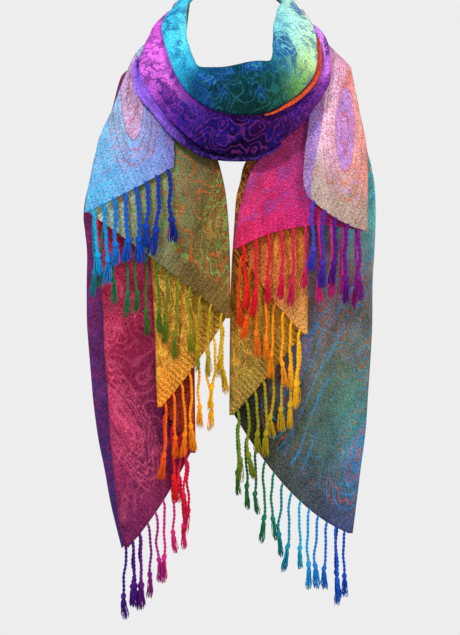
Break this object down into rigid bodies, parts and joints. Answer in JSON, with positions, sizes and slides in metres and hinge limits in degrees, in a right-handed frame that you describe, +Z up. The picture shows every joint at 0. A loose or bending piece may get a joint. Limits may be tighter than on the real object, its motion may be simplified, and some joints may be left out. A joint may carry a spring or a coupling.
{
  "type": "worn fringed pashmina shawl",
  "caption": "Fringed pashmina shawl in rainbow colours with a woven paisley pattern, wound once round the neck with both ends hanging in stepped folds in front.",
  "frame": {"origin": "middle of the neck hollow, where the shawl is held", "axes": "+Z up, +X to the viewer's right, the front of the wearer faces -Y"},
  "size_m": [0.3761, 0.2081, 0.8822],
  "materials": {
    "cloth_neck_roll": "matte",
    "cloth_neck_band": "matte",
    "cloth_neck_low_band": "matte",
    "cloth_red_edge": "matte",
    "cloth_sky": "matte",
    "cloth_olive": "matte",
    "cloth_gold": "matte",
    "cloth_rust": "matte",
    "cloth_crimson": "matte",
    "cloth_plum": "matte",
    "cloth_peach_lilac": "matte",
    "cloth_rose": "matte",
    "cloth_amber": "matte",
    "cloth_mustard": "matte",
    "cloth_teal": "matte",
    "fringe_blue": "matte",
    "fringe_green": "matte",
    "fringe_orange": "matte",
    "fringe_red": "matte",
    "fringe_magenta": "matte",
    "fringe_violet": "matte",
    "fringe_yellow": "matte",
    "fringe_teal": "matte"
  },
  "bodies": {
    "root": {"neck_roll_upper": "cloth_neck_roll", "neck_band_middle": "cloth_neck_band", "neck_band_lower": "cloth_neck_low_band", "neck_layer_red": "cloth_red_edge", "left_fold_1": "cloth_sky", "left_fold_2": "cloth_olive", "left_fold_3": "cloth_gold", "left_fold_4": "cloth_rust", "left_fold_5": "cloth_crimson", "left_fold_6": "cloth_plum", "right_fold_1": "cloth_peach_lilac", "right_fold_2": "cloth_rose", "right_fold_3": "cloth_amber", "right_fold_4": "cloth_mustard", "right_fold_5": "cloth_teal", "right_fold_6": "cloth_teal", "left_fringe_1": "fringe_blue", "left_fringe_2": "fringe_green", "left_fringe_3": "fringe_orange", "right_fringe_3": "fringe_orange", "left_fringe_4": "fringe_red", "right_fringe_2": "fringe_red", "left_fringe_5": "fringe_magenta", "left_fringe_6": "fringe_violet", "right_fringe_1": "fringe_violet", "right_fringe_4": "fringe_yellow", "right_fringe_5": "fringe_teal", "right_fringe_6": "fringe_teal"}
  },
  "joints": []
}
